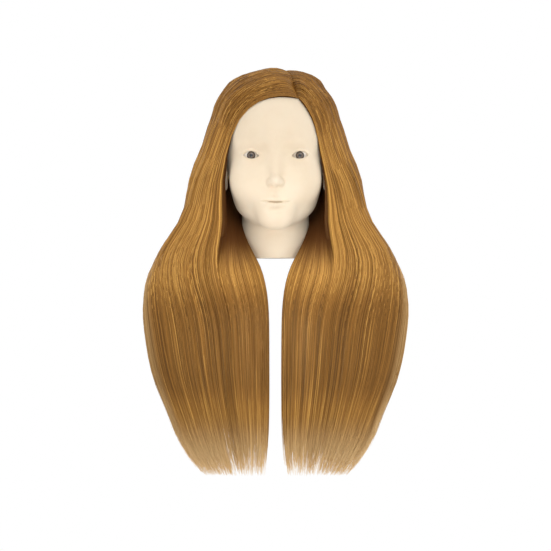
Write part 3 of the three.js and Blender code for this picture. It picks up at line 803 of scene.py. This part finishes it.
def closed_sheet(name, shaded, outer_points, inner_points):
    """A closed body between two grids of points, columns by rows.

    Its inner side gets painted shade above the hinge, as much as each column's shaded number says."""
    columns, rows = outer_points.shape[:2]
    outer = np.arange(columns * rows).reshape(columns, rows)
    inner = outer + columns * rows
    faces = []
    for i in range(columns - 1):
        for j in range(rows - 1):
            faces.append((outer[i, j], outer[i + 1, j], outer[i + 1, j + 1], outer[i, j + 1]))
            faces.append((inner[i, j], inner[i, j + 1], inner[i + 1, j + 1], inner[i + 1, j]))
    for j in range(rows - 1):
        faces.append((outer[0, j], outer[0, j + 1], inner[0, j + 1], inner[0, j]))
        faces.append((outer[-1, j], inner[-1, j], inner[-1, j + 1], outer[-1, j + 1]))
    for i in range(columns - 1):
        faces.append((outer[i, 0], inner[i, 0], inner[i + 1, 0], outer[i + 1, 0]))
        faces.append((outer[i, -1], outer[i + 1, -1], inner[i + 1, -1], inner[i, -1]))
    points = np.concatenate([outer_points.reshape(-1, 3), inner_points.reshape(-1, 3)])
    piece = mesh_object(name, points, faces)
    # Painted shade on the inner sheet: full from about z -10 upwards, fading out by z -90.
    inside = eased((inner_points[..., 2] + 90) / 80) * shaded[:, None]
    set_point_numbers(piece, "depth", np.concatenate([0 * inside.ravel(), inside.ravel()]))
    merge_poles(piece)
    return piece


def beside_face(t):
    """1 for the strands nearest to the face, whose inner side is in shade, and 0 for the others."""
    return eased((0.32 - t) / 0.12)


UNDER_TIP_Z = -225.0
UNDERLAYER_GAP = 1.2  # from the head
STRAND_GAP = 0.7


def make_underlayer(side, widest):
    """The thickness of hair under the outer strands, from the scalp to above the tips."""
    name = SIDES[side]
    columns = 40
    t = np.linspace(0.03, 0.985, columns)
    tip_z = UNDER_TIP_Z + 70 * np.exp(-((t - 0.5) / 0.16) ** 2)
    sheets = []
    for through in (0.66, -0.5):
        points, _ = main_paths(side, t, np.full(columns, through), np.zeros(columns), tip_z)
        sheets.append(clear_of_head(fitted_to_outline(side, points, widest), UNDERLAYER_GAP))
    piece = closed_sheet(f"hair_underlayer_{name}", beside_face(t), *sheets)
    finish_hair(piece, underlayer_material())
    return piece


def make_nape_underlayer(side, widest):
    name = SIDES[side]
    columns = 14
    t = np.linspace(0.05, 1, columns)
    sheets = []
    for through in (0.3, -0.6):
        points, _ = nape_paths(side, t, np.full(columns, through), np.full(columns, UNDER_TIP_Z))
        sheets.append(clear_of_head(fitted_to_outline(side, points, widest), UNDERLAYER_GAP))
    piece = closed_sheet(f"hair_nape_underlayer_{name}", np.ones(columns), *sheets)
    finish_hair(piece, underlayer_material())


def finish_hair(piece, material):
    piece.data.materials.append(material)
    across_the_hinge(piece)


def underlayer_material():
    if "hair_in_shade" in bpy.data.materials:
        return bpy.data.materials["hair_in_shade"]
    material, nodes, links, shader = new_material("hair_in_shade")
    place = add_node(nodes, "ShaderNodeTexCoord")
    stretch = add_node(nodes, "ShaderNodeMapping")
    stretch.inputs["Scale"].default_value = (700, 700, 9)
    links.new(place.outputs["Object"], stretch.inputs["Vector"])
    streaks = add_node(nodes, "ShaderNodeTexNoise", Scale=1.0, Detail=3.0)
    links.new(stretch.outputs["Vector"], streaks.inputs["Vector"])
    # Painted shade: the depth number mixes the underlayer's colour towards a darker brown on its inner side,
    # where it is in shade.
    depth = add_node(nodes, "ShaderNodeAttribute", attribute_name="depth")
    painted_shade_ramp = ramp_between(nodes, [(0.3, linear(64, 38, 20)), (0.7, linear(96, 60, 31))])
    light = ramp_between(nodes, [(0.3, linear(112, 74, 34)), (0.7, linear(152, 106, 52))])
    links.new(streaks.outputs["Fac"], painted_shade_ramp.inputs["Fac"])
    links.new(streaks.outputs["Fac"], light.inputs["Fac"])
    mix = add_node(nodes, "ShaderNodeMix", data_type="RGBA")
    links.new(depth.outputs["Fac"], mix.inputs[0])
    links.new(light.outputs["Color"], mix.inputs[6])
    links.new(painted_shade_ramp.outputs["Color"], mix.inputs[7])
    links.new(mix.outputs[2], shader.inputs["Base Color"])
    shader.inputs["Roughness"].default_value = 0.9
    shader.inputs["Specular IOR Level"].default_value = 0.1
    add_bump(nodes, links, shader, streaks.outputs["Fac"], 0.6, 0.0006)
    return material


def strand_material():
    """Silky fibre: each strand has its own shade, warm in the middle and faded towards the tip, with painted
    light by height, painted light at the outer edges and painted shade mixed in.
    """
    if "hair_fibre" in bpy.data.materials:
        return bpy.data.materials["hair_fibre"]
    material, nodes, links, shader = new_material("hair_fibre")
    shade = add_node(nodes, "ShaderNodeAttribute", attribute_name="shade")
    tip_fade_and_painted_edge_light = add_node(nodes, "ShaderNodeAttribute", attribute_name="tip_fade_and_painted_edge_light")
    depth = add_node(nodes, "ShaderNodeAttribute", attribute_name="depth")
    body = ramp_between(nodes, [
        (0.0, linear(84, 50, 18)),
        (0.35, linear(122, 80, 32)),
        (0.7, linear(150, 102, 44)),
        (1.0, linear(204, 152, 76)),
    ])
    links.new(shade.outputs["Fac"], body.inputs["Fac"])
    tip = ramp_between(nodes, [(0.0, linear(198, 152, 90)), (1.0, linear(240, 210, 160))])
    links.new(shade.outputs["Fac"], tip.inputs["Fac"])
    mix = add_node(nodes, "ShaderNodeMix", data_type="RGBA")
    links.new(tip_fade_and_painted_edge_light.outputs["Fac"], mix.inputs[0])
    links.new(body.outputs["Color"], mix.inputs[6])
    links.new(tip.outputs["Color"], mix.inputs[7])
    # Painted shade: the depth number mixes the colour towards a dark brown where the strands are in shade.
    shadow = add_node(nodes, "ShaderNodeMix", data_type="RGBA")
    links.new(depth.outputs["Fac"], shadow.inputs[0])
    links.new(mix.outputs[2], shadow.inputs[6])
    shadow.inputs[7].default_value = linear(104, 64, 33)
    links.new(shadow.outputs[2], shader.inputs["Base Color"])
    shader.inputs["Roughness"].default_value = 0.34
    shader.inputs["Specular IOR Level"].default_value = 0.55
    shader.inputs["Specular Tint"].default_value = linear(255, 214, 150)
    return material


def ribbons(name, points, facing, width, roll, numbers):
    """One mesh of flat ribbons, one for each strand, with a number of each kind on every point."""
    count, steps = points.shape[:2]
    along = np.gradient(points, axis=1)
    along /= np.maximum(np.linalg.norm(along, axis=-1, keepdims=True), 1e-6)
    sideways = np.cross(along, facing)
    sideways /= np.maximum(np.linalg.norm(sideways, axis=-1, keepdims=True), 1e-6)
    up = np.cross(sideways, along)
    turn = roll[:, None, None]
    arm = (sideways * np.cos(turn) + up * np.sin(turn)) * width[..., None] / 2
    corners = np.stack([points - arm, points + arm], 2).reshape(-1, 3)
    base = (np.arange(count)[:, None] * steps + np.arange(steps - 1)).ravel() * 2
    faces = np.stack([base, base + 2, base + 3, base + 1], -1)
    piece = mesh_object(name, corners, faces)
    for kind, values in numbers.items():
        set_point_numbers(piece, kind, np.repeat(values, 2, axis=1))
    return piece


def lock_numbers(t, locks, random):
    """A number from about -1 to 1 for each strand, much alike within a lock, and each lock's number."""
    lock = np.clip((t * locks + random.normal(0, 0.4, len(t))).astype(int), 0, locks - 1)
    return random.normal(0, 0.5, locks)[lock], lock


def dress_strands(part, side, points, facing, t, through, random, widest):
    """Turns paths into ribbons with their own widths, tilts and shades, with painted light by height, painted
    light at the outer edge and painted shade added to their colour numbers.
    """
    name = SIDES[side]
    count = len(points)
    points = fitted_to_outline(side, points, widest)
    forward = 0.8 * eased((0.62 - t) / 0.1)  # strands of the front half lie turned a little forwards
    facing = unit(facing - forward[:, None, None] * np.array([0, 1, 0]))
    length = np.concatenate(
        [np.zeros((count, 1)), np.cumsum(np.linalg.norm(np.diff(points, axis=1), axis=-1), 1)], 1
    )
    share = length / length[:, -1:]
    drift = np.sin(random.uniform(0, 6.28, (count, 1)) + share * random.uniform(2, 6, (count, 1))) * share
    lean = random.normal(0, 0.7, (count, 1)) * share ** 2
    points = points + (0.8 * drift + lean)[..., None] * np.array([1, 0.3, 0])
    points = clear_of_head(points, STRAND_GAP)
    size = random.uniform(0.6, 1.05, count)[:, None]
    taper = 1 - 0.8 * eased((share - 0.76) / 0.24)
    width = size * taper * (0.6 + 0.4 * eased(share / 0.05))
    roll = random.normal(0, 0.24, count)
    fine, lock = lock_numbers(t, 110, random)
    broad, _ = lock_numbers(t, 26, random)
    z = points[..., 2]
    along = 0.12 * np.sin(z / 35 + lock[:, None] * 2.4)
    # Painted light by height: strands are painted lighter from about z -75 up to z -20 and everywhere above,
    # lighter again from about z -165 down, and darker towards the crown above z 130. This stands in for the
    # hair's sheen and shading.
    painted_light_by_height = 0.38 * eased((z + 75) / 55) + 0.32 * eased((-165 - z) / 40) - 0.13
    painted_light_by_height = painted_light_by_height - 0.24 * eased((z - 130) / 80)
    own = 0.16 * fine + 0.12 * broad + random.normal(0, 0.22, count)
    # The shade number holds each strand's own tone with the painted light by height added to it.
    shade = 0.5 + own[:, None] + along + painted_light_by_height
    # Painted light: below about z 30 the outer edge of each curtain is painted lighter, as if lit through
    # from behind. From about z -205 down, the tips fade lighter in their own colour.
    edge = np.exp(-((t - 0.5) / 0.07) ** 2)[:, None] * eased((30 - z) / 70) * (part != "nape")
    tip_fade_and_painted_edge_light = np.clip(eased((-205 - z) / 85) * 0.95 + 0.5 * edge, 0, 1)
    # Painted shade: strands beside the face are painted darker the deeper they lie, from about z -60 upwards.
    # The nape's strands are painted darker from about z -25 upwards, where the hair is in shade.
    inner = (eased((0.5 - through) / 0.9) * beside_face(t))[:, None] * eased((z + 60) / 60)
    if part == "nape":
        inner = np.maximum(inner, eased((z + 25) / 55))
    piece = ribbons(
        f"hair_{part}_strands_{name}", points, facing, width, roll,
        {"shade": np.clip(shade, 0, 1), "tip_fade_and_painted_edge_light": tip_fade_and_painted_edge_light, "depth": inner},
    )
    finish_hair(piece, strand_material())


def tip_heights(t, random):
    """Ragged ends: most strands reach nearly to the bottom, and more stop early at the outer edge."""
    reach = random.uniform(0, 1, len(t))
    return TIP_Z + 2 + (66 + 60 * np.exp(-((t - 0.5) / 0.1) ** 2)) * reach ** 0.9


def make_strands(side, part, count, through_range, seed, widest):
    random = np.random.default_rng(seed)
    t = np.sort(random.uniform(0, 1, count))
    through = random.uniform(*through_range, count)
    start = random.uniform(0, 1, count) ** 2.5 * 0.5
    at_back = t > 0.7
    start[at_back] = random.uniform(0, 0.75, at_back.sum())
    start *= eased(t / 0.12)
    points, facing = main_paths(side, t, through, start, tip_heights(t, random))
    dress_strands(part, side, points, facing, t, through, random, widest)


def make_nape_strands(side, count, seed, widest):
    random = np.random.default_rng(seed)
    t = np.sort(random.uniform(0, 1, count))
    through = random.uniform(-0.95, 0.85, count)
    front = t < 0.75
    through[front] = np.where(random.uniform(0, 1, front.sum()) < 0.6, 0.85, through[front])
    points, facing = nape_paths(side, t, through, tip_heights(0 * t, random))
    dress_strands("nape", side, points, facing, t, through, random, widest)


# The layers of the main hair: how many strands, how deep they lie, from 1 at the outside to -1, and a seed.
LAYERS = {
    "outer": (3400, (0.72, 1.0), 11),
    "middle": (1200, (0.0, 0.7), 21),
    "inner": (900, (-1.0, -0.6), 31),
}
NAPE_STRANDS = 1600
NAPE_SEED = 41


def make_hair():
    for side, name in SIDES.items():
        hair_nodes = [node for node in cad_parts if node.startswith("hair_") and node.endswith(name)]
        widest = widest_at(side)
        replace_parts(make_underlayer(side, widest), *hair_nodes)
        make_nape_underlayer(side, widest)
        for part, (count, depth, seed) in LAYERS.items():
            make_strands(side, part, count, depth, seed + side, widest)
        make_nape_strands(side, NAPE_STRANDS, NAPE_SEED + side, widest)


# ------------------------------------------------------------------------------------------------------------
# The pieces inside the head and neck keep their shapes and get better materials.

def paint(material, *nodes):
    for name in nodes:
        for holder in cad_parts[name].material_slots:
            holder.material = material


def grained_material(name, colours, grain, gloss, bump, metallic=0.0):
    """A surface with two close colours, a grain, uneven gloss and a bump of the same grain."""
    material, nodes, links, shader = new_material(name)
    place = add_node(nodes, "ShaderNodeTexCoord")
    clouds = add_node(nodes, "ShaderNodeTexNoise", Scale=grain / 12, Detail=5.0)
    links.new(place.outputs["Object"], clouds.inputs["Vector"])
    ramp = ramp_between(nodes, [(0.38, colours[0]), (0.62, colours[1])])
    links.new(clouds.outputs["Fac"], ramp.inputs["Fac"])
    links.new(ramp.outputs["Color"], shader.inputs["Base Color"])
    fine = add_node(nodes, "ShaderNodeTexNoise", Scale=grain, Detail=3.0)
    links.new(place.outputs["Object"], fine.inputs["Vector"])
    sheen = add_node(nodes, "ShaderNodeMapRange")
    sheen.inputs["To Min"].default_value = gloss[0]
    sheen.inputs["To Max"].default_value = gloss[1]
    links.new(fine.outputs["Fac"], sheen.inputs["Value"])
    links.new(sheen.outputs["Result"], shader.inputs["Roughness"])
    shader.inputs["Metallic"].default_value = metallic
    add_bump(nodes, links, shader, fine.outputs["Fac"], bump, 0.0003)
    return material


def foam_material():
    """Rigid foam: pale yellow, with closed cells about a millimetre across."""
    material, nodes, links, shader = new_material("rigid_foam")
    place = add_node(nodes, "ShaderNodeTexCoord")
    cells = add_node(nodes, "ShaderNodeTexVoronoi", Scale=900.0)
    links.new(place.outputs["Object"], cells.inputs["Vector"])
    ramp = ramp_between(nodes, [(0.1, linear(214, 190, 132)), (0.6, linear(238, 222, 172))])
    links.new(cells.outputs["Distance"], ramp.inputs["Fac"])
    links.new(ramp.outputs["Color"], shader.inputs["Base Color"])
    shader.inputs["Roughness"].default_value = 0.95
    add_bump(nodes, links, shader, cells.outputs["Distance"], 0.5, 0.0004)
    return material


def paint_inner_pieces():
    plate = grained_material(
        "moulded_plate", (linear(206, 197, 180), linear(222, 214, 200)), 1100.0, (0.45, 0.7), 0.2
    )
    socket = grained_material(
        "socket_plastic", (linear(30, 30, 32), linear(44, 44, 47)), 1600.0, (0.3, 0.55), 0.15
    )
    screw = grained_material(
        "zinc_plating", (linear(176, 178, 182), linear(208, 210, 212)), 2400.0, (0.2, 0.42), 0.1, metallic=1.0
    )
    paint(plate, "neck_plate")
    paint(socket, "clamp_socket")
    paint(screw, *(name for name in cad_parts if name.startswith("socket_screw")))


# ------------------------------------------------------------------------------------------------------------
# Camera, light and floor.

CAMERA_DISTANCE = 3.0
CURTAIN_Y = -0.06  # the picture's width is measured here
FRAMED_WIDTH = 0.727
FRAMED_TOP_Z = 256 * MM
CAMERA_DROP = 0.006


def make_camera():
    """Straight in front, level, halfway up the hair."""
    data = bpy.data.cameras.new("camera")
    camera = bpy.data.objects.new("camera", data)
    scene.collection.objects.link(camera)
    middle_z = (FRAMED_TOP_Z + TIP_Z * MM) / 2 - CAMERA_DROP
    camera.location = (0, -CAMERA_DISTANCE, middle_z)
    camera.rotation_euler = (math.pi / 2, 0, 0)
    data.sensor_width = 36
    data.lens = data.sensor_width * (CAMERA_DISTANCE + CURTAIN_Y) / FRAMED_WIDTH
    scene.camera = camera


def add_light(name, place, aim, size, power, spread=180):
    """A round area light. Its size is in metres, its power in watts and its spread in degrees."""
    data = bpy.data.lights.new(name, "AREA")
    data.spread = math.radians(spread)
    data.shape = "DISK"
    data.size = size
    data.energy = power
    lamp = bpy.data.objects.new(name, data)
    scene.collection.objects.link(lamp)
    lamp.location = place
    lamp.rotation_euler = (Vector(aim) - Vector(place)).to_track_quat("-Z", "Y").to_euler()


def make_stage():
    """Even white light from all round, a soft key light, and a narrow light from below on the chin."""
    scene.view_settings.view_transform = "Standard"
    world = bpy.data.worlds.new("studio")
    world.use_nodes = True
    world.node_tree.nodes["Background"].inputs["Color"].default_value = (1, 1, 1, 1)
    world.node_tree.nodes["Background"].inputs["Strength"].default_value = 1.0
    scene.world = world
    add_light("key", place=(0.4, -1.9, 1.2), aim=(0, 0, 0), size=1.2, power=6)
    add_light("low_fill", place=(0, -1.4, -0.45), aim=(0, -0.05, 0.02), size=0.2, power=0.055, spread=16)


FLOOR_Z = -0.55
FLOOR_RADIUS = 1.0


def make_floor():
    """A pale round floor well below the hair, where it sends soft light back up."""
    bpy.ops.mesh.primitive_circle_add(
        vertices=96, radius=FLOOR_RADIUS, fill_type="NGON", location=(0, 0, FLOOR_Z)
    )
    floor = bpy.context.object
    floor.name = "floor"
    material, nodes, links, shader = new_material("pale_floor")
    place = add_node(nodes, "ShaderNodeTexCoord")
    clouds = add_node(nodes, "ShaderNodeTexNoise", Scale=9.0, Detail=3.0)
    links.new(place.outputs["Object"], clouds.inputs["Vector"])
    ramp = ramp_between(nodes, [(0.3, linear(246, 245, 243)), (0.7, linear(251, 250, 249))])
    links.new(clouds.outputs["Fac"], ramp.inputs["Fac"])
    links.new(ramp.outputs["Color"], shader.inputs["Base Color"])
    shader.inputs["Roughness"].default_value = 0.9
    floor.data.materials.append(material)


make_camera()
make_stage()
make_floor()
make_head()
make_foam()
for side, name in SIDES.items():
    make_eye(side, name)
make_hair()
paint_inner_pieces()
